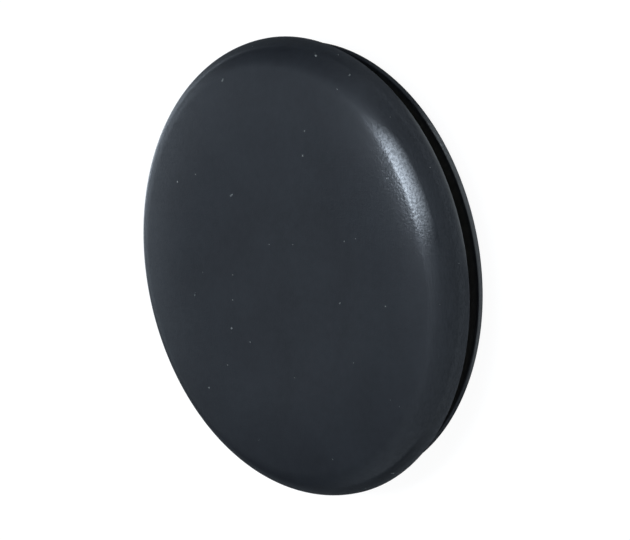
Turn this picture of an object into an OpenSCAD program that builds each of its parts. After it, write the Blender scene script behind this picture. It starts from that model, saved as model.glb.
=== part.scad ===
// Closed rubber grommet that blanks a round hole in a panel.
// It is one moulding: a cover in front with a low crowned face and a rolled edge, a groove that
// takes the panel, a thinner flange behind the panel that tapers to its rim, and a round
// recess in the back that lets the flange fold inwards as it is pushed through the hole.
// It lies on its back: z = 0 is the foot of the rear flange, and the face looks up along +Z.

/* [Panel groove] */
// Diameter of the panel hole, which is the diameter of the groove's floor
panel_hole_d = 50; // [20:0.5:80]
// Width of the groove, which is the thickest panel that it takes
groove_w = 2.9; // [1:0.1:6]
// Radius in the two inner corners of the groove
groove_fillet = 0.4; // [0.1:0.1:1]

/* [Cover] */
// How far the cover reaches past the edge of the hole
cover_lip = 5; // [2:0.1:12]
// Thickness of the cover at its middle, from the groove to the face
cover_t = 4.9; // [2:0.1:8]
// Width of the band, rim included, over which the face falls away from its flat middle
crown_w = 13.5; // [7:0.5:25]
// Radius that rolls the face over to the rim
face_round = 4.1; // [0.5:0.1:6]
// Radius on the cover's back corner, next to the groove
rim_round = 0.15; // [0.1:0.05:0.6]

/* [Rear flange] */
// How far the rear flange reaches past the edge of the hole
rear_lip = 3.7; // [1.5:0.1:8]
// Thickness of the rear flange where it joins the neck
rear_root_t = 2; // [1.4:0.1:4]
// Thickness of its rim, which is a full round
rear_rim_t = 0.8; // [0.5:0.05:1.2]

/* [Recess] */
// Wall between the groove's floor and the recess
neck_wall = 3; // [2:0.1:6]
// Rubber left between the recess and the face
web_t = 2.4; // [1:0.1:4]
// Width of the flat foot ring round the recess, mouth radius included
foot_w = 2.2; // [1.2:0.1:3]
// Radius where the recess's wall meets its flat end
recess_fillet = 1.5; // [0.2:0.1:2.5]
// Radius on the mouth of the recess
mouth_round = 0.6; // [0.1:0.1:1]

/* [Hidden] */
$fn = 180;

// Radii, from the axis outwards
recess_r = panel_hole_d / 2 - neck_wall;
foot_r = recess_r + foot_w;
groove_r = panel_hole_d / 2;
rear_r = groove_r + rear_lip;
cover_r = groove_r + cover_lip;

// Heights, from the back upwards
cover_z = rear_root_t + groove_w;
total_h = cover_z + cover_t;
recess_depth = total_h - web_t;

// A radius is never larger than the wall that it rounds, and the rolled edge leaves a tenth of
// the cover's thickness to the crown
crown_share = 0.1;
face_radius = min(face_round, (1 - crown_share) * (cover_t - rim_round), cover_lip);
root_radius = min(groove_fillet, 0.45 * groove_w);
recess_radius = min(recess_fillet, 0.5 * recess_depth);

// The face is flat in the middle, then follows the crown's arc, then the rolled edge's arc. Each
// arc starts in the direction in which the line before it ends, which gives the crown's radius
flat_r = max(0, cover_r - crown_w);
edge_centre = [cover_r - face_radius, cover_z + rim_round];
edge_rise = total_h - edge_centre.y;
crown_run = edge_centre.x - flat_r;
crown_r = (pow(crown_run, 2) + pow(edge_rise, 2) - pow(face_radius, 2))
    / (2 * (edge_rise - face_radius));
crown_centre = [flat_r, total_h - crown_r];
crown_angle = asin(crown_run / (crown_r - face_radius));

// The rear flange's rim is a circle under the flange's front face, and its back is the
// straight line from the foot that touches this circle. The line ends a hair inside the
// circle, so that the two always cross and no sliver is left between them
rim_r = rear_rim_t / 2;
hair = 0.001;
rim_centre = [rear_r - rim_r, rear_root_t - rim_r];
foot_to_rim = rim_centre - [foot_r, 0];
taper = atan2(foot_to_rim.y, foot_to_rim.x) - asin(rim_r / norm(foot_to_rim));
touch = rim_centre + rim_r * (1 - hair) * [sin(taper), -cos(taper)];

// How far a cutting shape runs past the surface that it opens
cut_over = 1;

// What rounds a square outer corner when it is cut away: the round's centre is the origin
module corner_cut(radius) {
    difference() {
        square(radius + cut_over);
        circle(radius);
    }
}

// What fills a square inner corner that opens up and to the right of the origin
module corner_fill(radius) {
    difference() {
        square(radius);
        translate([radius, radius])
            circle(radius);
    }
}

// Half-section of the cover: a plain slab as high as the rolled edge's centre, then the flat
// middle, the crown up to where the rolled edge takes over, and the rolled edge
module cover_section() {
    difference() {
        translate([0, cover_z])
            square([cover_r, rim_round]);
        translate([cover_r - rim_round, cover_z + rim_round])
            mirror([0, 1])
                corner_cut(rim_round);
    }
    translate([0, edge_centre.y])
        square([flat_r, edge_rise]);
    intersection() {
        translate(crown_centre)
            circle(crown_r);
        polygon([
            [flat_r, edge_centre.y],
            edge_centre,
            edge_centre + (face_radius + cover_t) * [sin(crown_angle), cos(crown_angle)],
            [flat_r, total_h + cover_t]
        ]);
    }
    intersection() {
        translate(edge_centre)
            circle(face_radius);
        translate(edge_centre - [face_radius, 0])
            square(2 * face_radius);
    }
}

// Half-section of the neck inside the panel's hole, with the groove's two fillets
module neck_section() {
    translate([0, rear_root_t])
        square([groove_r, groove_w]);
    translate([groove_r, rear_root_t])
        corner_fill(root_radius);
    translate([groove_r, cover_z])
        mirror([0, 1])
            corner_fill(root_radius);
}

// Half-section of the rear flange: flat in front, tapered behind, round at its rim
module rear_section() {
    polygon([
        [0, 0],
        [foot_r, 0],
        touch,
        rim_centre,
        [rim_centre.x, rear_root_t],
        [0, rear_root_t]
    ]);
    translate(rim_centre)
        circle(rim_r);
}

// Half-section of the recess: a flat end with rounded corners, and a flared mouth
module recess_section() {
    difference() {
        translate([0, -cut_over])
            square([recess_r, recess_depth + cut_over]);
        translate([recess_r - recess_radius, recess_depth - recess_radius])
            corner_cut(recess_radius);
    }
    translate([recess_r, 0])
        corner_fill(mouth_round);
}

module grommet() {
    color([0.16, 0.18, 0.21])
        rotate_extrude()
            difference() {
                union() {
                    cover_section();
                    neck_section();
                    rear_section();
                }
                recess_section();
            }
}

grommet();
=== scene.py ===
# %% [markdown]
# # A closed rubber grommet
#
# This lesson dresses one moulded part: a grommet that closes a round hole in a panel. The part is a
# single piece of black rubber with a low crowned cover, a groove for the panel's edge and a thin flange
# behind it. It lies on its back on a pale bench, with its face up.
#
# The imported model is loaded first. It gives the frame: one unit is a metre, the axis of the grommet
# is Z, and z = 0 is the bench.

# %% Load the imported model
import math

import bpy
from mathutils import Matrix, Vector


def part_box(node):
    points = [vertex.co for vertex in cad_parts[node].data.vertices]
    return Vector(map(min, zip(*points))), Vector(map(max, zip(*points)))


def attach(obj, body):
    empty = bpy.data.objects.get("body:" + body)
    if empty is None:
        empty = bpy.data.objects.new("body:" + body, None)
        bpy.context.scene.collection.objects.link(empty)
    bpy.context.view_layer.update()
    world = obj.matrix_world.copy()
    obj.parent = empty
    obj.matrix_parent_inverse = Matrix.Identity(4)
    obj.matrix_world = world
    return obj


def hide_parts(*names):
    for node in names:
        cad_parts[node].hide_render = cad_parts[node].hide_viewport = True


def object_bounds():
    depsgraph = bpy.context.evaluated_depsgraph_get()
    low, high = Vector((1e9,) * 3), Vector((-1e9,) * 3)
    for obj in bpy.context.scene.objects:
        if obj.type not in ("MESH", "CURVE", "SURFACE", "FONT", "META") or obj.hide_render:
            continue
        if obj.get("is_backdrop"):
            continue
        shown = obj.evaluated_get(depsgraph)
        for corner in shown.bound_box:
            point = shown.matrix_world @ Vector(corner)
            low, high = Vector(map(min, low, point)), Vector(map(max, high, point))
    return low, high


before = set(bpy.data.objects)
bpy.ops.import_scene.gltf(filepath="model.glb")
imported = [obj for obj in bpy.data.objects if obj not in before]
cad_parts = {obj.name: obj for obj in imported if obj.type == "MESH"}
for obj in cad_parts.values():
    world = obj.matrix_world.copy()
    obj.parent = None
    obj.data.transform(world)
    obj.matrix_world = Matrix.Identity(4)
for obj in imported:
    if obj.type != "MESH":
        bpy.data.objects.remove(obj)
cad_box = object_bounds()
MM = 0.001

print("frame: box in mm", [[round(c / MM, 2) for c in corner] for corner in cad_box])

# %% [markdown]
# ## The camera
#
# A long lens from about twelve diameters away shows a small part with little perspective, so circles
# stay close to true ellipses. The camera looks down at the face from the side. It is also rolled
# about its own line of sight, so that the disc stands in the view like one held up by its edge.
# The three directions of the camera are written straight from two angles, which is easier to read
# than a chain of rotations.

# %% Place the camera
VIEW_ANGLE = math.radians(48.46)   # between the line of sight and the face's own direction
ROLL = math.radians(11.78)         # turn of the view about the line of sight
DISTANCE = 0.75
SENSOR_WIDTH_MM = 36.0
LENS_MM = 331.3
AIM = Vector((0.0, 0.0, 4.9 * MM))  # the axis, at the cover's back
AIM_RIGHT = 0.91 * MM              # how far the view's middle lies right of AIM
AIM_UP = -0.47 * MM                # and how far above it
CLIP_NEAR = 0.01
CLIP_FAR = 20.0

back = Vector((math.sin(VIEW_ANGLE), 0.0, math.cos(VIEW_ANGLE)))
flat = Vector((math.cos(VIEW_ANGLE), 0.0, -math.sin(VIEW_ANGLE)))
side = Vector((0.0, 1.0, 0.0))
right = flat * math.cos(ROLL) - side * math.sin(ROLL)
up = flat * math.sin(ROLL) + side * math.cos(ROLL)

camera = bpy.data.objects.new("camera", bpy.data.cameras.new("camera"))
bpy.context.scene.collection.objects.link(camera)
turn = Matrix((right, up, back)).transposed().to_4x4()
place = Matrix.Translation(AIM + DISTANCE * back + AIM_RIGHT * right + AIM_UP * up)
camera.matrix_world = place @ turn
camera.data.sensor_width = SENSOR_WIDTH_MM
camera.data.lens = LENS_MM
camera.data.clip_start = CLIP_NEAR
camera.data.clip_end = CLIP_FAR
bpy.context.scene.camera = camera

print("camera: at", [round(c, 4) for c in camera.location], "lens", LENS_MM, "mm")

# %% [markdown]
# ## Two helpers
#
# Every node tree below is built with the same small function. It adds a node, sets the node's own
# options and feeds its inputs, either with a value or with the output of an earlier node. A second
# function turns a written colour into the linear numbers that a renderer works in.

# %% Helpers for nodes and colours
def add(tree, kind, feeds=None, **options):
    """Adds a node with its options. feeds gives, for an input's name or number, a value or a socket."""
    node = tree.nodes.new(kind)
    for name, value in options.items():
        setattr(node, name, value)
    for name, value in (feeds or {}).items():
        socket = node.inputs[name]
        if isinstance(value, bpy.types.NodeSocket):
            tree.links.new(value, socket)
        else:
            socket.default_value = value
    return node


def linear(colour):
    """The linear RGBA of a hex colour such as #8090a0, by the curve of the sRGB standard."""
    parts = [int(colour[i:i + 2], 16) / 255 for i in (1, 3, 5)]
    return [p / 12.92 if p <= 0.04045 else ((p + 0.055) / 1.055) ** 2.4 for p in parts] + [1.0]


print("colours: #808080 in linear numbers is", round(linear("#808080")[0], 3))

# %% [markdown]
# ## The section
#
# A turned or moulded round part is one section, swept round an axis. Here the section is a line of
# corners, and each corner has a radius of its own: a very large one where the flat middle of the face
# begins to slope away, a large one where it rolls over to the rim, small ones in the groove, a full
# round at the rim of the rear flange. Writing corners and radii keeps the outline free of lists of
# points, and a designer draws it in the same way.
#
# The outer sizes come from the frame's box. The others are the sizes that the mould was cut to.

# %% Sizes of the section
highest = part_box("grommet")[1]
cover_r = highest.x
face_z = highest.z
groove_r = 25.0 * MM               # the groove's floor
groove_w = 2.9 * MM
cover_t = 4.9 * MM
crown_w = 13.5 * MM                # band of the face that slopes away, rolled edge included
edge_r = 4.1 * MM                  # the rolled edge
rim_round = 0.15 * MM              # the cover's back corner
rear_lip = 3.7 * MM                # how far the rear flange stands out from the groove's floor
rear_rim_r = 0.4 * MM
neck_wall = 3.0 * MM               # between the groove's floor and the recess
web_t = 2.4 * MM                   # between the face and the end of the recess
foot_w = 2.2 * MM                  # the ring it lies on, with the recess's rounded mouth

cover_z = face_z - cover_t
flange_z = cover_z - groove_w
rear_r = groove_r + rear_lip
recess_r = groove_r - neck_wall
recess_z = face_z - web_t
foot_r = recess_r + foot_w

# The face is flat as far as flat_r. From there one big radius slopes it down, until it meets the rolled
# edge. Both are drawn as rounded corners: the slope's line touches both circles where they join.
flat_r = cover_r - crown_w
edge_rise = cover_t - rim_round
crown_run = crown_w - edge_r
crown_r = (crown_run**2 + edge_rise**2 - edge_r**2) / (2 * (edge_rise - edge_r))
slope = math.asin(crown_run / (crown_r - edge_r))
slope_corner_r = flat_r + crown_r * math.tan(slope / 2)
edge_corner_z = face_z - (cover_r - slope_corner_r) * math.tan(slope)

# The rear flange's back is the line from the foot that touches the rim's full round
rim_run = rear_r - rear_rim_r - foot_r
rim_rise = flange_z - rear_rim_r
taper = math.atan2(rim_rise, rim_run) - math.asin(rear_rim_r / math.hypot(rim_run, rim_rise))
rim_corner_z = rim_rise - rear_rim_r * math.tan(math.pi / 4 - taper / 2)
print("section: the face slopes to", round(math.degrees(slope), 1), "degrees")
print("section: the back of the rear flange slopes", round(math.degrees(taper), 1), "degrees")

# %% [markdown]
# ## Its corners by name
#
# A node tree is easier to read when each size goes in under a name. A corner of the section is then
# three names: its distance from the axis, its height and its own radius. The corners run from the
# middle of the face, round the outside and back to the axis in the recess.

# %% Name the sizes and list the corners
SIZES = {
    "Cover radius": cover_r,
    "Face height": face_z,
    "Cover back height": cover_z,
    "Groove radius": groove_r,
    "Flange front height": flange_z,
    "Rear radius": rear_r,
    "Rear corner height": rim_corner_z,
    "Foot radius": foot_r,
    "Recess radius": recess_r,
    "Recess end height": recess_z,
    "Slope corner radius": slope_corner_r,
    "Edge corner height": edge_corner_z,
    "Crown round": crown_r,
    "Edge round": edge_r,
    "Back corner round": rim_round,
    "Groove fillet": 0.4 * MM,
    "Rear rim round": rear_rim_r,
    "Foot round": 0.15 * MM,
    "Mouth round": 0.6 * MM,
    "Recess fillet": 1.5 * MM,
    "Lip shift X": 0.03 * MM,
    "Lip shift Y": 0.20 * MM,
    "Lip wave": 0.12 * MM,
    "Lip wave length": 22.0 * MM,
    "None": 0.0,
}
CORNERS = [
    ("None", "Face height", "None"),
    ("Slope corner radius", "Face height", "Crown round"),
    ("Cover radius", "Edge corner height", "Edge round"),
    ("Cover radius", "Cover back height", "Back corner round"),
    ("Groove radius", "Cover back height", "Groove fillet"),
    ("Groove radius", "Flange front height", "Groove fillet"),
    ("Rear radius", "Flange front height", "Rear rim round"),
    ("Rear radius", "Rear corner height", "Rear rim round"),
    ("Foot radius", "None", "Foot round"),
    ("Recess radius", "None", "Mouth round"),
    ("Recess radius", "Recess end height", "Recess fillet"),
    ("None", "Recess end height", "None"),
]
print("section:", len(CORNERS), "corners from", len(SIZES), "sizes")

# %% [markdown]
# ## Sweeping the section with Geometry Nodes
#
# Blender has a Spin tool and a Screw modifier, but a node tree keeps the sizes as named inputs that
# can be turned afterwards. The inputs are the sizes above, two counts of segments and the material.

# %% Give the sweep its inputs
SEGMENTS_ROUND = 288
SEGMENTS_CORNER = 22

sweep = bpy.data.node_groups.new("grommet sweep", "GeometryNodeTree")
sweep.interface.new_socket("Geometry", in_out="INPUT", socket_type="NodeSocketGeometry")
sweep.interface.new_socket("Geometry", in_out="OUTPUT", socket_type="NodeSocketGeometry")
for size_name in SIZES:
    sweep.interface.new_socket(size_name, in_out="INPUT", socket_type="NodeSocketFloat")
for count_name in ("Segments round", "Segments corner"):
    sweep.interface.new_socket(count_name, in_out="INPUT", socket_type="NodeSocketInt")
sweep.interface.new_socket("Material", in_out="INPUT", socket_type="NodeSocketMaterial")
given = add(sweep, "NodeGroupInput").outputs
print("sweep:", len(sweep.interface.items_tree), "inputs and outputs")

# %% [markdown]
# ## From a row of points to a rounded section
#
# A row with as many points as there are corners is laid down first. Index Switch gives each point its
# place and its radius by its number in the row. Mesh to Curve joins the points, and Fillet Curve
# rounds each corner by its own radius.

# %% Place and round the corners
index = add(sweep, "GeometryNodeInputIndex").outputs[0]
places = add(sweep, "GeometryNodeIndexSwitch", {"Index": index}, data_type="VECTOR")
rounds = add(sweep, "GeometryNodeIndexSwitch", {"Index": index}, data_type="FLOAT")
for _ in CORNERS[2:]:
    places.index_switch_items.new()
    rounds.index_switch_items.new()
for number, (radius, height, rounding) in enumerate(CORNERS):
    corner = add(sweep, "ShaderNodeCombineXYZ", {"X": given[radius], "Y": given[height]})
    sweep.links.new(corner.outputs[0], places.inputs[number + 1])
    sweep.links.new(given[rounding], rounds.inputs[number + 1])

row = add(sweep, "GeometryNodeMeshLine", {"Count": len(CORNERS)})
laid = add(
    sweep,
    "GeometryNodeSetPosition",
    {"Geometry": row.outputs[0], "Position": places.outputs[0]},
)
sharp = add(sweep, "GeometryNodeMeshToCurve", {"Mesh": laid.outputs[0]})
section = add(
    sweep,
    "GeometryNodeFilletCurve",
    {
        "Curve": sharp.outputs[0],
        "Count": given["Segments corner"],
        "Radius": rounds.outputs[0],
        "Limit Radius": True,
    },
    mode="POLY",
)
print("sweep: the section takes", len(sweep.nodes), "nodes")

# %% [markdown]
# ## Round the edge of the hole
#
# Curve to Mesh sweeps the section round a circle, which is the edge of the panel's hole. So the section
# is measured from that circle, and not from the axis. Curve to Mesh also draws a profile's Y downwards
# round it, so the heights are turned over first.
#
# The section starts and ends on the axis, where all its copies meet in one point. Merge by Distance
# closes those two poles.

# %% Sweep the section
MERGE_WITHIN = 0.001 * MM
UPSIDE_DOWN = (1.0, -1.0, 1.0)

from_groove = add(
    sweep, "ShaderNodeMath", {0: 0.0, 1: given["Groove radius"]}, operation="SUBTRACT"
)
here = add(sweep, "GeometryNodeInputPosition").outputs[0]
shift = add(sweep, "ShaderNodeCombineXYZ", {"X": from_groove.outputs[0]})
turned = add(
    sweep,
    "ShaderNodeVectorMath",
    {0: here, 1: UPSIDE_DOWN, 2: shift.outputs[0]},
    operation="MULTIPLY_ADD",
)
centred = add(
    sweep,
    "GeometryNodeSetPosition",
    {"Geometry": section.outputs[0], "Position": turned.outputs[0]},
)
hole_edge = add(
    sweep,
    "GeometryNodeCurvePrimitiveCircle",
    {"Resolution": given["Segments round"], "Radius": given["Groove radius"]},
    mode="RADIUS",
)
swept = add(
    sweep,
    "GeometryNodeCurveToMesh",
    {"Curve": hole_edge.outputs[0], "Profile Curve": centred.outputs[0], "Fill Caps": False},
)
closed = add(
    sweep,
    "GeometryNodeMergeByDistance",
    {"Geometry": swept.outputs[0], "Distance": MERGE_WITHIN},
)
print("sweep: the turned form has", len(sweep.nodes), "nodes")

# %% [markdown]
# ## The lip that isn't quite true
#
# The rear flange is a thin, soft lip. A real one never lies quite true: it is pushed a little to one
# side and waves by a tenth of a millimetre. The mesh could be pushed about by hand, but nodes do it by
# a rule. They shift only the points below the groove, from nothing at the neck to the full amount at
# the rim. A point's distance from the axis is the length of its level part.

# %% Pick the points of the lip
LEVEL_PART = (1.0, 1.0, 0.0)

spot = add(sweep, "ShaderNodeSeparateXYZ", {0: here})
level = add(sweep, "ShaderNodeVectorMath", {0: here, 1: LEVEL_PART}, operation="MULTIPLY")
reach = add(sweep, "ShaderNodeVectorMath", {0: level.outputs[0]}, operation="LENGTH")
loose = add(
    sweep,
    "ShaderNodeMapRange",
    {
        "Value": reach.outputs["Value"],
        "From Min": given["Groove radius"],
        "From Max": given["Rear radius"],
        "To Min": 0.0,
        "To Max": 1.0,
    },
    interpolation_type="SMOOTHSTEP",
)
hair = add(
    sweep,
    "ShaderNodeMath",
    {0: given["Flange front height"], 1: given["Rear rim round"]},
    operation="ADD",
)
below = add(
    sweep,
    "FunctionNodeCompare",
    {"A": spot.outputs["Z"], "B": hair.outputs[0]},
    data_type="FLOAT",
    operation="LESS_THAN",
)
print("sweep: the lip is picked, with", len(sweep.nodes), "nodes so far")

# %% [markdown]
# ## How far the lip is off
#
# A wide noise gives the wave, and a fixed push sets the lip off centre. A noise runs from 0 to 1, so
# half is taken off to make it push both ways. The tree ends as every tree here does: real faces, and
# the material set on them.

# %% Let the lip hang free
HALF = (0.5, 0.5, 0.5)

pitch = add(sweep, "ShaderNodeMath", {0: 1.0, 1: given["Lip wave length"]}, operation="DIVIDE")
ripple = add(
    sweep,
    "ShaderNodeTexNoise",
    {"Vector": here, "Scale": pitch.outputs[0], "Detail": 0.0},
)
both_ways = add(
    sweep,
    "ShaderNodeVectorMath",
    {0: ripple.outputs["Color"], 1: HALF},
    operation="SUBTRACT",
)
wave = add(
    sweep,
    "ShaderNodeVectorMath",
    {0: both_ways.outputs[0], "Scale": given["Lip wave"]},
    operation="SCALE",
)
push = add(sweep, "ShaderNodeCombineXYZ", {"X": given["Lip shift X"], "Y": given["Lip shift Y"]})
moved = add(
    sweep,
    "ShaderNodeVectorMath",
    {0: wave.outputs[0], 1: push.outputs[0]},
    operation="ADD",
)
eased = add(
    sweep,
    "ShaderNodeVectorMath",
    {0: moved.outputs[0], "Scale": loose.outputs[0]},
    operation="SCALE",
)
hung = add(
    sweep,
    "GeometryNodeSetPosition",
    {"Geometry": closed.outputs[0], "Selection": below.outputs[0], "Offset": eased.outputs[0]},
)
smooth = add(sweep, "GeometryNodeSetShadeSmooth", {"Geometry": hung.outputs[0]})
real = add(sweep, "GeometryNodeRealizeInstances", {"Geometry": smooth.outputs[0]})
painted = add(
    sweep,
    "GeometryNodeSetMaterial",
    {"Geometry": real.outputs[0], "Material": given["Material"]},
)
add(sweep, "NodeGroupOutput", {"Geometry": painted.outputs[0]})
print("sweep:", len(sweep.nodes), "nodes")

# %% [markdown]
# ## The rubber
#
# Grommets are moulded from a synthetic rubber that is filled with carbon black, so the mass of it is
# nearly black. The steel mould leaves a matt skin. In time wax comes out of the rubber and lies on
# that skin as a thin, smooth bloom. The eye gets two mirrors, one over the other: a clear and narrow
# one from the bloom, and a wide haze from the skin below.
#
# One roughness can't give both, but the Principled shader has a coat: the coat is the bloom, and the
# base under it is the skin. The skin's shape comes first. A fine noise is its grain. The real grain is
# about 0.05 mm. It is drawn several times as wide here, because a finer one is lost at this distance.
# A second, wide noise is the uneven shrinking of a thick moulding as it cools.

# %% Grain the skin
GRAIN = 0.28 * MM                  # coarser than the real one, so that it shows
GRAIN_HEIGHT = 0.012 * MM
SHRINK_WIDTH = 9.0 * MM
SHRINK_HEIGHT = 0.02 * MM

rubber = bpy.data.materials.new("moulded_rubber")
rubber.use_nodes = True
tree = rubber.node_tree
tree.nodes.clear()
place = add(tree, "ShaderNodeTexCoord").outputs["Object"]
grain = add(
    tree,
    "ShaderNodeTexNoise",
    {"Vector": place, "Scale": 1.0 / GRAIN, "Detail": 2.0, "Roughness": 0.6},
)
shrink = add(
    tree,
    "ShaderNodeTexNoise",
    {"Vector": place, "Scale": 1.0 / SHRINK_WIDTH, "Detail": 1.0, "Roughness": 0.5},
)
wide = add(
    tree,
    "ShaderNodeBump",
    {"Strength": 1.0, "Distance": SHRINK_HEIGHT, "Height": shrink.outputs[0]},
)
fine = add(
    tree,
    "ShaderNodeBump",
    {
        "Strength": 1.0,
        "Distance": GRAIN_HEIGHT,
        "Height": grain.outputs[0],
        "Normal": wide.outputs[0],
    },
)
print("rubber: grain", round(GRAIN / MM, 2), "mm, shrinking", round(SHRINK_WIDTH / MM, 1), "mm")

# %% [markdown]
# ## Its haze, its bloom and its black
#
# A highlight on such rubber isn't even: it breaks up into sparkle. The grain's own noise does that
# here. Where it is high, the skin is a little rougher and the bloom, rubbed off the tops, is thin.
# Where it is low, the bloom is thick.
#
# The black isn't quite even either. The wide noise and a cloudy one together mottle it between two
# near blacks, both slightly blue.

# %% Vary the haze, the bloom and the black
NOISE_LOW = 0.3                    # a noise seldom leaves the range from here
NOISE_HIGH = 0.7                   # to here
HAZE_ON_LOW = 0.4
HAZE_ON_HIGH = 0.52
BLOOM_THICK_BELOW = 0.4
BLOOM_THIN_ABOVE = 0.62
BLOOM_THICK = 0.92
BLOOM_THIN = 0.44
CLOUD_WIDTH = 1.2 * MM
BLACK_DEEP = "#1a1b1e"
BLACK_PALE = "#222427"

haze = add(
    tree,
    "ShaderNodeMapRange",
    {
        "Value": grain.outputs[0],
        "From Min": NOISE_LOW,
        "From Max": NOISE_HIGH,
        "To Min": HAZE_ON_LOW,
        "To Max": HAZE_ON_HIGH,
    },
)
bloom = add(
    tree,
    "ShaderNodeMapRange",
    {
        "Value": grain.outputs[0],
        "From Min": BLOOM_THICK_BELOW,
        "From Max": BLOOM_THIN_ABOVE,
        "To Min": BLOOM_THICK,
        "To Max": BLOOM_THIN,
    },
)
cloudy = add(
    tree,
    "ShaderNodeTexNoise",
    {"Vector": place, "Scale": 1.0 / CLOUD_WIDTH, "Detail": 3.0, "Roughness": 0.7},
)
both = add(
    tree, "ShaderNodeMath", {0: shrink.outputs[0], 1: cloudy.outputs[0]}, operation="ADD"
)
half_way = add(
    tree,
    "ShaderNodeMapRange",
    {"Value": both.outputs[0], "From Min": 2 * NOISE_LOW, "From Max": 2 * NOISE_HIGH},
)
mottle = add(
    tree,
    "ShaderNodeMix",
    {0: half_way.outputs[0], 6: linear(BLACK_DEEP), 7: linear(BLACK_PALE)},
    data_type="RGBA",
)
print("rubber: black from", BLACK_DEEP, "to", BLACK_PALE)

# %% [markdown]
# ## The rims: scuff and painted highlight
#
# The two thin rims are paler. They rub on everything that the part is packed and shaken with, and a
# scuff roughens the skin, which then scatters more light. The paleness is also a painted highlight:
# each rim is pale only on the side where light falls on it. The masks come from a point's distance to
# the axis, its height and its direction, so they are not drawn on a texture. The first is the thin rim
# of the flange: far out, and below the cover.

# %% Mask the rim of the flange
RIM_WIDTH = 0.24 * MM
RIM_EASE = 0.12 * MM
LIP_LIT_AZIMUTH = math.radians(-4)
LIP_UNLIT_END = 0.71
LIP_LIT_END = 0.83


def kept_to_lit_side(mask, azimuth, unlit_end, lit_end):
    """Keeps a mask on the side that azimuth points to, where light falls, as a painted highlight. Its
    two ends are shares of cover_r.
    """
    way = (math.cos(azimuth), math.sin(azimuth), 0.0)
    towards = add(tree, "ShaderNodeVectorMath", {0: place, 1: way}, operation="DOT_PRODUCT")
    side = add(
        tree,
        "ShaderNodeMapRange",
        {
            "Value": towards.outputs["Value"],
            "From Min": unlit_end * cover_r,
            "From Max": lit_end * cover_r,
        },
        interpolation_type="SMOOTHSTEP",
    )
    kept = add(tree, "ShaderNodeMath", {0: mask, 1: side.outputs[0]}, operation="MULTIPLY")
    return kept.outputs[0]


spot = add(tree, "ShaderNodeSeparateXYZ", {0: place})
level = add(tree, "ShaderNodeVectorMath", {0: place, 1: LEVEL_PART}, operation="MULTIPLY")
reach = add(tree, "ShaderNodeVectorMath", {0: level.outputs[0]}, operation="LENGTH")
lip = add(
    tree,
    "ShaderNodeMapRange",
    {
        "Value": reach.outputs["Value"],
        "From Min": rear_r - RIM_WIDTH,
        "From Max": rear_r - RIM_WIDTH + RIM_EASE,
    },
)
low_down = add(
    tree, "ShaderNodeMath", {0: spot.outputs["Z"], 1: cover_z}, operation="LESS_THAN"
)
lip_rim = add(
    tree, "ShaderNodeMath", {0: lip.outputs[0], 1: low_down.outputs[0]}, operation="MULTIPLY"
)
# The flange's rim is pale on its lit side: scuff and painted highlight together.
lip_scuff_and_highlight = kept_to_lit_side(lip_rim.outputs[0], LIP_LIT_AZIMUTH, LIP_UNLIT_END, LIP_LIT_END)
print("rubber: the flange's rim is scuffed over", round(RIM_WIDTH / MM, 2), "mm")

# %% [markdown]
# ## The corner: scuff and painted highlight
#
# The second mask is the sharp back corner of the cover. Rubbing wears it through at the corner itself,
# and the scuff fades quickly upwards, as the rolled edge turns away from what rubs it. Like the rim, it
# is pale only on the side where light falls, so it is a painted highlight as well. The larger of the
# two masks mixes the grey of scuff and painted highlight over the black.

# %% Mask the corner and paint scuff and highlight on both
CORNER_SHARP = 0.15 * MM           # height of the fully scuffed part of the corner
CORNER_DEPTH = 2 * CORNER_SHARP    # how far it goes inwards
CORNER_WIDTH = 1.4 * MM            # height at which the wear ends
CORNER_FADE = 4
CORNER_LIT_AZIMUTH = math.radians(14)
CORNER_UNLIT_END = 0.9
CORNER_LIT_END = 0.99
# Grey of the scuffs and of the painted highlight on the lit side of the rims.
SCUFF_AND_HIGHLIGHT = "#686764"

corner = add(
    tree,
    "ShaderNodeMapRange",
    {
        "Value": spot.outputs["Z"],
        "From Min": cover_z + CORNER_WIDTH,
        "From Max": cover_z + CORNER_SHARP,
    },
)
fading = add(tree, "ShaderNodeMath", {0: corner.outputs[0], 1: CORNER_FADE}, operation="POWER")
far_out = add(
    tree,
    "ShaderNodeMath",
    {0: reach.outputs["Value"], 1: cover_r - CORNER_DEPTH},
    operation="GREATER_THAN",
)
cover_rim = add(
    tree, "ShaderNodeMath", {0: fading.outputs[0], 1: far_out.outputs[0]}, operation="MULTIPLY"
)
# The corner is pale on its lit side: scuff and painted highlight together.
corner_scuff_and_highlight = kept_to_lit_side(cover_rim.outputs[0], CORNER_LIT_AZIMUTH, CORNER_UNLIT_END, CORNER_LIT_END)
scuff_and_highlight = add(tree, "ShaderNodeMath", {0: lip_scuff_and_highlight, 1: corner_scuff_and_highlight}, operation="MAXIMUM")
scuff_and_highlight_colour = add(
    tree,
    "ShaderNodeMix",
    {0: scuff_and_highlight.outputs[0], 6: mottle.outputs[2], 7: linear(SCUFF_AND_HIGHLIGHT)},
    data_type="RGBA",
)
print("rubber: rims scuffed to", SCUFF_AND_HIGHLIGHT)

# %% [markdown]
# ## The dust in the groove
#
# Nothing wipes the groove, so a film of grey-brown dust stays on its walls, thicker in clouds. It is
# far too thin to be a shape of its own. So it is a colour in the rubber's material, kept between the
# cover and the flange, and inwards of the pale rim.

# %% Leave dust in the groove
FILM_FADE = 4 * RIM_WIDTH
FILM_THIN = 0.5
FILM_THICK = 0.7
FILM_COLOUR = "#48443d"

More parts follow.
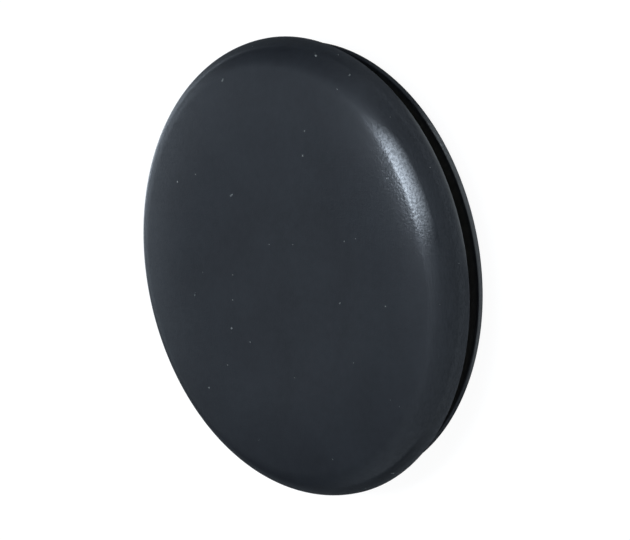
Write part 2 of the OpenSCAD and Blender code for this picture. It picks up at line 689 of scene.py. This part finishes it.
in_front = add(
    tree,
    "ShaderNodeMath",
    {0: spot.outputs["Z"], 1: flange_z - GRAIN},
    operation="GREATER_THAN",
)
behind = add(
    tree, "ShaderNodeMath", {0: spot.outputs["Z"], 1: cover_z + GRAIN}, operation="LESS_THAN"
)
inwards = add(
    tree,
    "ShaderNodeMapRange",
    {
        "Value": reach.outputs["Value"],
        "From Min": rear_r - RIM_WIDTH,
        "From Max": rear_r - FILM_FADE,
    },
)
gap = add(
    tree, "ShaderNodeMath", {0: in_front.outputs[0], 1: behind.outputs[0]}, operation="MULTIPLY"
)
sheltered = add(
    tree, "ShaderNodeMath", {0: gap.outputs[0], 1: inwards.outputs[0]}, operation="MULTIPLY"
)
uneven = add(
    tree,
    "ShaderNodeMapRange",
    {
        "Value": cloudy.outputs[0],
        "From Min": NOISE_LOW,
        "From Max": NOISE_HIGH,
        "To Min": FILM_THIN,
        "To Max": FILM_THICK,
    },
)
film = add(
    tree, "ShaderNodeMath", {0: sheltered.outputs[0], 1: uneven.outputs[0]}, operation="MULTIPLY"
)
dusted = add(
    tree,
    "ShaderNodeMix",
    {0: film.outputs[0], 6: scuff_and_highlight_colour.outputs[2], 7: linear(FILM_COLOUR)},
    data_type="RGBA",
)
print("rubber: dust in the groove is", FILM_COLOUR)

# %% [markdown]
# ## The skin and its bloom in one shader
#
# Rubber and wax both bend light by about 1.5. The skin's mirror is turned down, because its grain traps
# part of the light before it gets out. The bloom is smooth, so its roughness is small. Numbers that
# are the same all over the part are set on the shader itself.

# %% Put the skin and its bloom together
RUBBER_IOR = 1.5
SKIN_MIRROR = 0.15
BLOOM_ROUGHNESS = 0.13

skin = add(
    tree,
    "ShaderNodeBsdfPrincipled",
    {
        "Base Color": dusted.outputs[2],
        "Roughness": haze.outputs[0],
        "IOR": RUBBER_IOR,
        "Specular IOR Level": SKIN_MIRROR,
        "Coat Weight": bloom.outputs[0],
        "Coat Roughness": BLOOM_ROUGHNESS,
        "Coat IOR": RUBBER_IOR,
        "Normal": fine.outputs[0],
        "Coat Normal": fine.outputs[0],
    },
)
add(tree, "ShaderNodeOutputMaterial", {"Surface": skin.outputs[0]})
print("rubber:", len(tree.nodes), "nodes")

# %% [markdown]
# ## Making the moulded grommet
#
# The modifier runs the tree on an object that starts empty. Its inputs are set by their identifiers,
# because two inputs may share a name. The evaluated result is then kept as a plain mesh and the
# modifier goes, so that the finished piece is the moulding and nothing else.

# %% Make the grommet's mesh
def grown(name, tree, values):
    """A plain mesh object made by a node tree, with its inputs set by name."""
    piece = bpy.data.objects.new(name, bpy.data.meshes.new(name))
    bpy.context.scene.collection.objects.link(piece)
    modifier = piece.modifiers.new(tree.name, "NODES")
    modifier.node_group = tree
    for socket in tree.interface.items_tree:
        if socket.name in values:
            modifier[socket.identifier] = values[socket.name]
    seen = piece.evaluated_get(bpy.context.evaluated_depsgraph_get())
    mesh = bpy.data.meshes.new_from_object(seen)
    piece.modifiers.clear()
    piece.data = mesh
    mesh.name = name
    return piece


counts = {"Segments round": SEGMENTS_ROUND, "Segments corner": SEGMENTS_CORNER}
grommet = grown("moulded_grommet", sweep, {**SIZES, **counts, "Material": rubber})
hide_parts("grommet")
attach(grommet, "root")
print("grommet:", len(grommet.data.vertices), "points", len(grommet.data.polygons), "faces")

# %% [markdown]
# ## The dust
#
# Black rubber holds a charge and picks up dust from any bench: pale specks of one to three tenths of a
# millimetre, with a short fibre here and there. They lie on the crown and on the rolled edge, more of
# them on the side that stood nearest the open air.
#
# They could be painted as dots in the rubber's material, but small solids catch the light on their
# own and stay sharp. Geometry Nodes scatter them over the grommet's own faces: the tree picks the
# faces of the cover and drops points on them with a fixed seed. The specks are a piece of their own,
# so they can be wiped off.

# %% Pick where the dust lies
OPEN_SIDE = (0.8, 0.6, 0.0)

dusting = bpy.data.node_groups.new("dust scatter", "GeometryNodeTree")
dusting.interface.new_socket("Geometry", in_out="INPUT", socket_type="NodeSocketGeometry")
dusting.interface.new_socket("Geometry", in_out="OUTPUT", socket_type="NodeSocketGeometry")
dusting.interface.new_socket("Surface", in_out="INPUT", socket_type="NodeSocketObject")
for size_name in ("Lowest height", "Specks per m2", "Speck width", "Thin side share"):
    dusting.interface.new_socket(size_name, in_out="INPUT", socket_type="NodeSocketFloat")
dusting.interface.new_socket("Seed", in_out="INPUT", socket_type="NodeSocketInt")
dusting.interface.new_socket("Material", in_out="INPUT", socket_type="NodeSocketMaterial")

given = add(dusting, "NodeGroupInput").outputs
surface = add(dusting, "GeometryNodeObjectInfo", {"Object": given["Surface"]})
here = add(dusting, "GeometryNodeInputPosition").outputs[0]
spot = add(dusting, "ShaderNodeSeparateXYZ", {0: here})
on_cover = add(
    dusting,
    "FunctionNodeCompare",
    {"A": spot.outputs["Z"], "B": given["Lowest height"]},
    data_type="FLOAT",
    operation="GREATER_THAN",
)
towards = add(dusting, "ShaderNodeVectorMath", {0: here, 1: OPEN_SIDE}, operation="DOT_PRODUCT")
share = add(
    dusting,
    "ShaderNodeMapRange",
    {
        "Value": towards.outputs["Value"],
        "From Min": -cover_r,
        "From Max": cover_r,
        "To Min": given["Thin side share"],
        "To Max": 1.0,
    },
)
amount = add(
    dusting,
    "ShaderNodeMath",
    {0: share.outputs[0], 1: given["Specks per m2"]},
    operation="MULTIPLY",
)
points = add(
    dusting,
    "GeometryNodeDistributePointsOnFaces",
    {
        "Mesh": surface.outputs["Geometry"],
        "Selection": on_cover.outputs[0],
        "Density": amount.outputs[0],
        "Seed": given["Seed"],
    },
    distribute_method="RANDOM",
)
print("dust: the scatter has", len(dusting.nodes), "nodes")

# %% [markdown]
# ## How big each speck is
#
# Dust has many small specks, few big ones and, now and then, a fibre. Equal chances don't give that,
# but powers of them do. The square of a random number makes most specks small, and its sixth power
# makes few of them long. Each speck also gets its own turn on the surface.

# %% Size and turn each speck
LUCK_SEED = 1
LONG_SEED = 2
TURN_SEED = 3
FULL_TURN = 2 * math.pi
SMALL_POWER = 2.0
LEAST_WIDTH = 0.6                  # of the speck width that the tree is given
MORE_WIDTH = 1.2                   # and what luck adds to it
LONG_POWER = 6.0
MORE_LENGTH = 3.0                  # what the longest fibre has on top of its width, in widths
FLATNESS = 0.5
UPRIGHT = (0.0, 0.0, 1.0)

luck = add(dusting, "FunctionNodeRandomValue", {2: 0.0, 3: 1.0, 8: LUCK_SEED})
small = add(dusting, "ShaderNodeMath", {0: luck.outputs[1], 1: SMALL_POWER}, operation="POWER")
bigger = add(
    dusting,
    "ShaderNodeMath",
    {0: small.outputs[0], 1: MORE_WIDTH, 2: LEAST_WIDTH},
    operation="MULTIPLY_ADD",
)
width = add(
    dusting, "ShaderNodeMath", {0: bigger.outputs[0], 1: given["Speck width"]}, operation="MULTIPLY"
)
stretch = add(dusting, "FunctionNodeRandomValue", {2: 0.0, 3: 1.0, 8: LONG_SEED})
rare = add(dusting, "ShaderNodeMath", {0: stretch.outputs[1], 1: LONG_POWER}, operation="POWER")
longer = add(
    dusting, "ShaderNodeMath", {0: rare.outputs[0], 1: MORE_LENGTH, 2: 1.0}, operation="MULTIPLY_ADD"
)
length = add(
    dusting, "ShaderNodeMath", {0: width.outputs[0], 1: longer.outputs[0]}, operation="MULTIPLY"
)
thick = add(dusting, "ShaderNodeMath", {0: width.outputs[0], 1: FLATNESS}, operation="MULTIPLY")
size = add(
    dusting,
    "ShaderNodeCombineXYZ",
    {"X": length.outputs[0], "Y": width.outputs[0], "Z": thick.outputs[0]},
)
angle = add(dusting, "FunctionNodeRandomValue", {2: 0.0, 3: FULL_TURN, 8: TURN_SEED})
spin = add(
    dusting, "FunctionNodeAxisAngleToRotation", {"Axis": UPRIGHT, "Angle": angle.outputs[1]}
)
turned = add(
    dusting,
    "FunctionNodeRotateRotation",
    {0: points.outputs["Rotation"], 1: spin.outputs[0]},
    rotation_space="LOCAL",
)
print("dust: widths are", LEAST_WIDTH, "to", round(LEAST_WIDTH + MORE_WIDTH, 1), "of the given one")

# %% [markdown]
# ## What each speck is made of
#
# A speck starts as a small flattened ball, half sunk in the surface. A few dozen faces are enough for
# a thing that small. A noise about as fine as the speck then pushes its points about, because a clean
# egg doesn't look like lint. Realize Instances turns the copies into real faces first.

# %% Set a crumpled ball on each point
BALL_RADIUS = 0.5                  # one unit across, so that its scale is its size
BALL_ROUNDS = 2
CRUMPLE_WIDTH = 0.15 * MM
CRUMPLE_DEPTH = 0.2 * MM

ball = add(
    dusting, "GeometryNodeMeshIcoSphere", {"Radius": BALL_RADIUS, "Subdivisions": BALL_ROUNDS}
)
strewn = add(
    dusting,
    "GeometryNodeInstanceOnPoints",
    {
        "Points": points.outputs[0],
        "Instance": ball.outputs[0],
        "Rotation": turned.outputs[0],
        "Scale": size.outputs[0],
    },
)
real = add(dusting, "GeometryNodeRealizeInstances", {"Geometry": strewn.outputs[0]})
crumple = add(
    dusting,
    "ShaderNodeTexNoise",
    {"Vector": here, "Scale": 1.0 / CRUMPLE_WIDTH, "Detail": 0.0},
)
lumps = add(
    dusting, "ShaderNodeVectorMath", {0: crumple.outputs["Color"], 1: HALF}, operation="SUBTRACT"
)
dents = add(
    dusting,
    "ShaderNodeVectorMath",
    {0: lumps.outputs[0], "Scale": CRUMPLE_DEPTH},
    operation="SCALE",
)
ragged = add(
    dusting, "GeometryNodeSetPosition", {"Geometry": real.outputs[0], "Offset": dents.outputs[0]}
)
painted = add(
    dusting,
    "GeometryNodeSetMaterial",
    {"Geometry": ragged.outputs[0], "Material": given["Material"]},
)
add(dusting, "NodeGroupOutput", {"Geometry": painted.outputs[0]})
print("dust: the whole tree has", len(dusting.nodes), "nodes")

# %% [markdown]
# ## The look of dust
#
# House dust is mostly pale fibre and skin: matt, off-white, and a little different from speck to
# speck. A slow noise over the whole part gives each speck its own shade.

# %% Strew the dust
SHADE_WIDTH = 2.0 * MM
DUST_DARK = "#4c4f51"
DUST_PALE = "#7d7d78"
LINT_ROUGHNESS = 0.9
LINT_IOR = 1.5
CLEAN_BELOW = 1.0 * MM             # over the cover's back

house_dust = bpy.data.materials.new("house_dust")
house_dust.use_nodes = True
tree = house_dust.node_tree
tree.nodes.clear()
place = add(tree, "ShaderNodeTexCoord").outputs["Object"]
shade = add(
    tree, "ShaderNodeTexNoise", {"Vector": place, "Scale": 1.0 / SHADE_WIDTH, "Detail": 0.0}
)
tone = add(
    tree,
    "ShaderNodeMix",
    {0: shade.outputs[0], 6: linear(DUST_DARK), 7: linear(DUST_PALE)},
    data_type="RGBA",
)
fluff = add(
    tree,
    "ShaderNodeBsdfPrincipled",
    {"Base Color": tone.outputs[2], "Roughness": LINT_ROUGHNESS, "IOR": LINT_IOR},
)
add(tree, "ShaderNodeOutputMaterial", {"Surface": fluff.outputs[0]})

dust = grown(
    "dust_specks",
    dusting,
    {
        "Surface": grommet,
        "Lowest height": cover_z + CLEAN_BELOW,
        "Specks per m2": 26000.0,
        "Speck width": 0.17 * MM,
        "Thin side share": 0.3,
        "Seed": 5,
        "Material": house_dust,
    },
)
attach(dust, "root")
print("dust:", len(dust.data.polygons), "faces")

# %% [markdown]
# ## The bench
#
# The floor is a plain pale sheet to the camera, which sees it white. The rubber mirrors it, so for
# other rays it carries painted light and shade, as in a small studio: painted light near the camera,
# where the rim of the grommet mirrors it, and painted shade falling to dark behind the part. Matt paint
# scatters light evenly, so a plain Diffuse shader does it.

# %% Paint light and shade on the sheet
SHEET_AZIMUTH = math.radians(-5)
SHEET_DARK_END = -4 * MM
SHEET_PALE_END = 49 * MM
# Painted shade behind the part, painted light near the camera
SHEET_DARK = "#4a4a4a"
SHEET_PALE = "#bcbcbc"

bench_paint = bpy.data.materials.new("matt_bench_paint")
bench_paint.use_nodes = True
tree = bench_paint.node_tree
tree.nodes.clear()
place = add(tree, "ShaderNodeTexCoord").outputs["Object"]
sheet_way = (math.cos(SHEET_AZIMUTH), math.sin(SHEET_AZIMUTH), 0.0)
along_sheet = add(tree, "ShaderNodeVectorMath", {0: place, 1: sheet_way}, operation="DOT_PRODUCT")
painted_light_share = add(
    tree,
    "ShaderNodeMapRange",
    {
        "Value": along_sheet.outputs["Value"],
        "From Min": SHEET_DARK_END,
        "From Max": SHEET_PALE_END,
    },
    interpolation_type="SMOOTHSTEP",
)
sheet_painted_light_and_shade = add(
    tree,
    "ShaderNodeMix",
    {0: painted_light_share.outputs[0], 6: linear(SHEET_DARK), 7: linear(SHEET_PALE)},
    data_type="RGBA",
)
print("bench: from", SHEET_DARK, "to", SHEET_PALE)

# %% [markdown]
# ## A painted pool of light at the card's foot
#
# A white card stands on the far side, and a pool of its light is painted on the sheet at its foot. The
# foot is a wedge seen from the part. How far a point's direction turns from the middle of the wedge
# decides how pale the painted light is, by the bell curve that a card with a blurred edge would give,
# and it starts a little way out.

# %% Paint a pool of light at the foot of the card
FOOT_AZIMUTH = math.radians(155)
FOOT_SPREAD = math.radians(13.4)
FOOT_START = 11 * MM
FOOT_END = 35 * MM
# The tone of the pool of light painted at the card's foot
FOOT_PAINTED_LIGHT = "#e0e0e0"

foot_way = (math.cos(FOOT_AZIMUTH), math.sin(FOOT_AZIMUTH), 0.0)
level = add(tree, "ShaderNodeVectorMath", {0: place, 1: LEVEL_PART}, operation="MULTIPLY")
reach = add(tree, "ShaderNodeVectorMath", {0: level.outputs[0]}, operation="LENGTH")
out_far = add(
    tree,
    "ShaderNodeMapRange",
    {"Value": reach.outputs["Value"], "From Min": FOOT_START, "From Max": FOOT_END},
    interpolation_type="SMOOTHSTEP",
)
heading = add(tree, "ShaderNodeVectorMath", {0: level.outputs[0]}, operation="NORMALIZE")
aligned = add(
    tree, "ShaderNodeVectorMath", {0: heading.outputs[0], 1: foot_way}, operation="DOT_PRODUCT"
)
missed = add(tree, "ShaderNodeMath", {0: aligned.outputs["Value"], 1: 1.0}, operation="SUBTRACT")
spread = add(tree, "ShaderNodeMath", {0: missed.outputs[0], 1: FOOT_SPREAD**2}, operation="DIVIDE")
wedge = add(tree, "ShaderNodeMath", {0: spread.outputs[0]}, operation="EXPONENT")
# The mask of the painted pool of light
foot = add(
    tree, "ShaderNodeMath", {0: wedge.outputs[0], 1: out_far.outputs[0]}, operation="MULTIPLY"
)
lit_sheet = add(
    tree,
    "ShaderNodeMix",
    {0: foot.outputs[0], 6: sheet_painted_light_and_shade.outputs[2], 7: linear(FOOT_PAINTED_LIGHT)},
    data_type="RGBA",
)
print("bench: foot at", [round(c, 2) for c in foot_way])

# %% [markdown]
# ## What the camera sees of the bench
#
# To the camera the bench is a white background. Most of that white is a glow that only camera rays
# see, and the rest is a lit surface, so the shadow that the grommet casts still shows. More light
# would make the bench white too, but it would also wash out the rubber.

# %% Make the bench
FLOOR_SIZE = 12.0
SEEN_TONE = "#585858"
WHITE = "#ffffff"
GLOW_SHARE = 0.95

# Other rays see the sheet with its painted light, painted shade and painted pool of light.
hidden = add(tree, "ShaderNodeBsdfDiffuse", {"Color": lit_sheet.outputs[2]})
seen_sheet = add(tree, "ShaderNodeBsdfDiffuse", {"Color": linear(SEEN_TONE)})
glow = add(tree, "ShaderNodeEmission", {"Color": linear(WHITE), "Strength": GLOW_SHARE})
seen = add(tree, "ShaderNodeAddShader", {0: seen_sheet.outputs[0], 1: glow.outputs[0]})
ray = add(tree, "ShaderNodeLightPath")
either = add(
    tree,
    "ShaderNodeMixShader",
    {0: ray.outputs["Is Camera Ray"], 1: hidden.outputs[0], 2: seen.outputs[0]},
)
add(tree, "ShaderNodeOutputMaterial", {"Surface": either.outputs[0]})


def flat_panel(name, corners, material):
    """A flat face through the corners, which isn't part of the object."""
    panel = bpy.data.objects.new(name, bpy.data.meshes.new(name))
    bpy.context.scene.collection.objects.link(panel)
    panel.data.from_pydata(corners, [], [range(len(corners))])
    panel.data.materials.append(material)
    panel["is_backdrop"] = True
    return panel


half = FLOOR_SIZE / 2
flat_panel(
    "bench",
    [(-half, -half, 0), (half, -half, 0), (half, half, 0), (-half, half, 0)],
    bench_paint,
)
print("bench:", FLOOR_SIZE, "m wide")

# %% [markdown]
# ## The room
#
# Satin rubber is so dark that half of what the eye sees on it is a soft mirror image of the room. A
# room that is dark on one side and pale on the other shows the form of such a disc. Lamps could be set
# round the part one by one, but here the world is that room. Its brightness follows the direction: it
# rises from dark on the far side to pale behind the camera, and a soft upright glow on the far side
# stands for a white card that lights the edge there. Camera rays see plain white instead.

# %% Light the room
LIGHT_TINT = "#e2f0ff"             # a cool daylight lamp
ROOM_PALE = 0.44
ROOM_AZIMUTH = math.radians(-16)
ROOM_DARK_END = -0.738             # cosines of the turn from ROOM_AZIMUTH
ROOM_PALE_END = -0.096

world = bpy.data.worlds.new("studio")
bpy.context.scene.world = world
world.use_nodes = True
tree = world.node_tree
tree.nodes.clear()
towards = add(tree, "ShaderNodeTexCoord").outputs["Generated"]
open_way = (math.cos(ROOM_AZIMUTH), math.sin(ROOM_AZIMUTH), 0.0)
openness = add(tree, "ShaderNodeVectorMath", {0: towards, 1: open_way}, operation="DOT_PRODUCT")
room = add(
    tree,
    "ShaderNodeMapRange",
    {
        "Value": openness.outputs["Value"],
        "From Min": ROOM_DARK_END,
        "From Max": ROOM_PALE_END,
        "To Min": 0.0,
        "To Max": ROOM_PALE,
    },
    interpolation_type="SMOOTHSTEP",
)
print("room: at most", ROOM_PALE)

# %% [markdown]
# ## The white card
#
# The card is a bell curve too, once in azimuth and once in height. Bell curves multiply by adding what
# stands in their exponents, so one exponent node draws both.

# %% Stand the card in the room
CARD_STRENGTH = 1.06
CARD_AZIMUTH = math.radians(169)
CARD_SPREAD = math.radians(10.3)
CARD_MIDDLE = 0.26                 # sine of the elevation of its middle
CARD_RISE = 0.32                   # and how fast it fades above and below

card_way = (math.cos(CARD_AZIMUTH), math.sin(CARD_AZIMUTH), 0.0)
parts = add(tree, "ShaderNodeSeparateXYZ", {0: towards})
level = add(tree, "ShaderNodeVectorMath", {0: towards, 1: LEVEL_PART}, operation="MULTIPLY")
heading = add(tree, "ShaderNodeVectorMath", {0: level.outputs[0]}, operation="NORMALIZE")
aligned = add(
    tree, "ShaderNodeVectorMath", {0: heading.outputs[0], 1: card_way}, operation="DOT_PRODUCT"
)
missed = add(tree, "ShaderNodeMath", {0: aligned.outputs["Value"], 1: 1.0}, operation="SUBTRACT")
spread = add(tree, "ShaderNodeMath", {0: missed.outputs[0], 1: CARD_SPREAD**2}, operation="DIVIDE")
above = add(tree, "ShaderNodeMath", {0: parts.outputs["Z"], 1: CARD_MIDDLE}, operation="SUBTRACT")
rise = add(tree, "ShaderNodeMath", {0: above.outputs[0], 1: CARD_RISE}, operation="DIVIDE")
rise_squared = add(
    tree, "ShaderNodeMath", {0: rise.outputs[0], 1: rise.outputs[0]}, operation="MULTIPLY"
)
dimming = add(
    tree, "ShaderNodeMath", {0: spread.outputs[0], 1: rise_squared.outputs[0]}, operation="SUBTRACT"
)
card = add(tree, "ShaderNodeMath", {0: dimming.outputs[0]}, operation="EXPONENT")
total = add(
    tree,
    "ShaderNodeMath",
    {0: card.outputs[0], 1: CARD_STRENGTH, 2: room.outputs[0]},
    operation="MULTIPLY_ADD",
)
lit = add(
    tree, "ShaderNodeBackground", {"Color": linear(LIGHT_TINT), "Strength": total.outputs[0]}
)
white = add(tree, "ShaderNodeBackground", {"Color": linear(WHITE), "Strength": 1.0})
ray = add(tree, "ShaderNodeLightPath")
either = add(
    tree,
    "ShaderNodeMixShader",
    {0: ray.outputs["Is Camera Ray"], 1: lit.outputs[0], 2: white.outputs[0]},
)
add(tree, "ShaderNodeOutputWorld", {"Surface": either.outputs[0]})
print("room: card at", [round(c, 2) for c in card_way])

# %% [markdown]
# ## The main light
#
# The main light is one tapered softbox, hung level over the part, narrow at its tip and wide at its far
# end. One lamp stands behind its cloth near the tip, so the cloth is brightest there and dims towards
# the wide end and towards both long sides. An area lamp shines evenly, so the softbox is a flat face
# with a material that glows.
#
# The rolled edge mirrors it as a streak. Across the edge the streak begins at once, where the edge
# starts to turn, and dies away outwards. Along the rim it fades at both ends.

# %% Lay out the softbox
KEY_HEIGHT = 0.9                   # over the face
# The other sizes are shares of that height
KEY_TIP = Vector((-0.611, 0.092))
KEY_AZIMUTH = math.radians(17.2)
KEY_LENGTH = 1.503
KEY_TIP_HALF = 0.068               # half of its width at the tip
KEY_WIDE_HALF = 0.62               # and at the far end

along = Vector((math.cos(KEY_AZIMUTH), math.sin(KEY_AZIMUTH)))
across = Vector((-along.y, along.x))
far_end = KEY_TIP + along * KEY_LENGTH
outline = [
    KEY_TIP - across * KEY_TIP_HALF,
    far_end - across * KEY_WIDE_HALF,
    far_end + across * KEY_WIDE_HALF,
    KEY_TIP + across * KEY_TIP_HALF,
]
print("light: the softbox is", round(KEY_LENGTH * KEY_HEIGHT, 2), "m long")

# %% [markdown]
# ## Finding the way about its cloth
#
# A point on the cloth is described by two numbers: how far it lies along the length, from 0 at the tip
# to 1 at the far end, and how far off the middle line, from 0 there to 1 on the long side. The cloth
# widens towards its far end, so the second number is a share of the width at that place.

# %% Measure along and across the cloth
lamp_cloth = bpy.data.materials.new("softbox_cloth")
lamp_cloth.use_nodes = True
tree = lamp_cloth.node_tree
tree.nodes.clear()
place = add(tree, "ShaderNodeTexCoord").outputs["Object"]
from_tip = add(
    tree,
    "ShaderNodeVectorMath",
    {0: place, 1: (KEY_TIP.x * KEY_HEIGHT, KEY_TIP.y * KEY_HEIGHT, 0.0)},
    operation="SUBTRACT",
)
one_length = along / (KEY_LENGTH * KEY_HEIGHT)
run = add(
    tree,
    "ShaderNodeVectorMath",
    {0: from_tip.outputs[0], 1: (one_length.x, one_length.y, 0.0)},
    operation="DOT_PRODUCT",
)
one_height = across / KEY_HEIGHT
sideways = add(
    tree,
    "ShaderNodeVectorMath",
    {0: from_tip.outputs[0], 1: (one_height.x, one_height.y, 0.0)},
    operation="DOT_PRODUCT",
)
half_width = add(
    tree,
    "ShaderNodeMapRange",
    {"Value": run.outputs["Value"], "To Min": KEY_TIP_HALF, "To Max": KEY_WIDE_HALF},
)
aside = add(
    tree,
    "ShaderNodeMath",
    {0: sideways.outputs["Value"], 1: half_width.outputs[0]},
    operation="DIVIDE",
)
off_middle = add(tree, "ShaderNodeMath", {0: aside.outputs[0]}, operation="ABSOLUTE")
print("light: the cloth takes", len(tree.nodes), "nodes to measure")

# %% [markdown]
# ## How its cloth glows
#
# The glow is one curve of the first number times another of the second. Along the length it rises
# quickly at the tip and then fades as a power of what is left of the length. Across, it is even in the
# middle and fades smoothly to nothing at the long sides.

# %% Let the cloth glow
KEY_STRENGTH = 25.8
KEY_FADE = 1.5                     # power of the fade from the tip to the wide end
KEY_START = 0.05                   # share of its length over which the light rises at the tip
KEY_EVEN = 0.3                     # share of its half width that is evenly bright

middle = add(
    tree,
    "ShaderNodeMapRange",
    {"Value": off_middle.outputs[0], "From Min": 1.0, "From Max": KEY_EVEN},
    interpolation_type="SMOOTHSTEP",
)
left_over = add(
    tree, "ShaderNodeMath", {0: 1.0, 1: run.outputs["Value"]}, operation="SUBTRACT", use_clamp=True
)
fade = add(tree, "ShaderNodeMath", {0: left_over.outputs[0], 1: KEY_FADE}, operation="POWER")
start = add(
    tree,
    "ShaderNodeMapRange",
    {"Value": run.outputs["Value"], "From Max": KEY_START, "To Max": KEY_STRENGTH},
    interpolation_type="SMOOTHSTEP",
)
shape = add(
    tree, "ShaderNodeMath", {0: fade.outputs[0], 1: middle.outputs[0]}, operation="MULTIPLY"
)
power = add(
    tree, "ShaderNodeMath", {0: shape.outputs[0], 1: start.outputs[0]}, operation="MULTIPLY"
)
shine = add(
    tree, "ShaderNodeEmission", {"Color": linear(LIGHT_TINT), "Strength": power.outputs[0]}
)
add(tree, "ShaderNodeOutputMaterial", {"Surface": shine.outputs[0]})
softbox = flat_panel(
    "softbox",
    [(c.x * KEY_HEIGHT, c.y * KEY_HEIGHT, face_z + KEY_HEIGHT) for c in outline],
    lamp_cloth,
)
softbox.visible_camera = False
print("light: softbox at", KEY_HEIGHT, "m over the face")

# %% [markdown]
# ## Showing the colours as lit
#
# The Standard view transform shows a colour as it was lit, with no film curve.

# %% Set the view and finish
bpy.context.scene.view_settings.view_transform = "Standard"
visual_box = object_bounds()
sizes = {
    "cad": [list(corner) for corner in cad_box],
    "visual": [list(corner) for corner in visual_box],
}
for box_name, corners in sizes.items():
    print("size in mm:", box_name, [[round(c / MM, 3) for c in corner] for corner in corners])
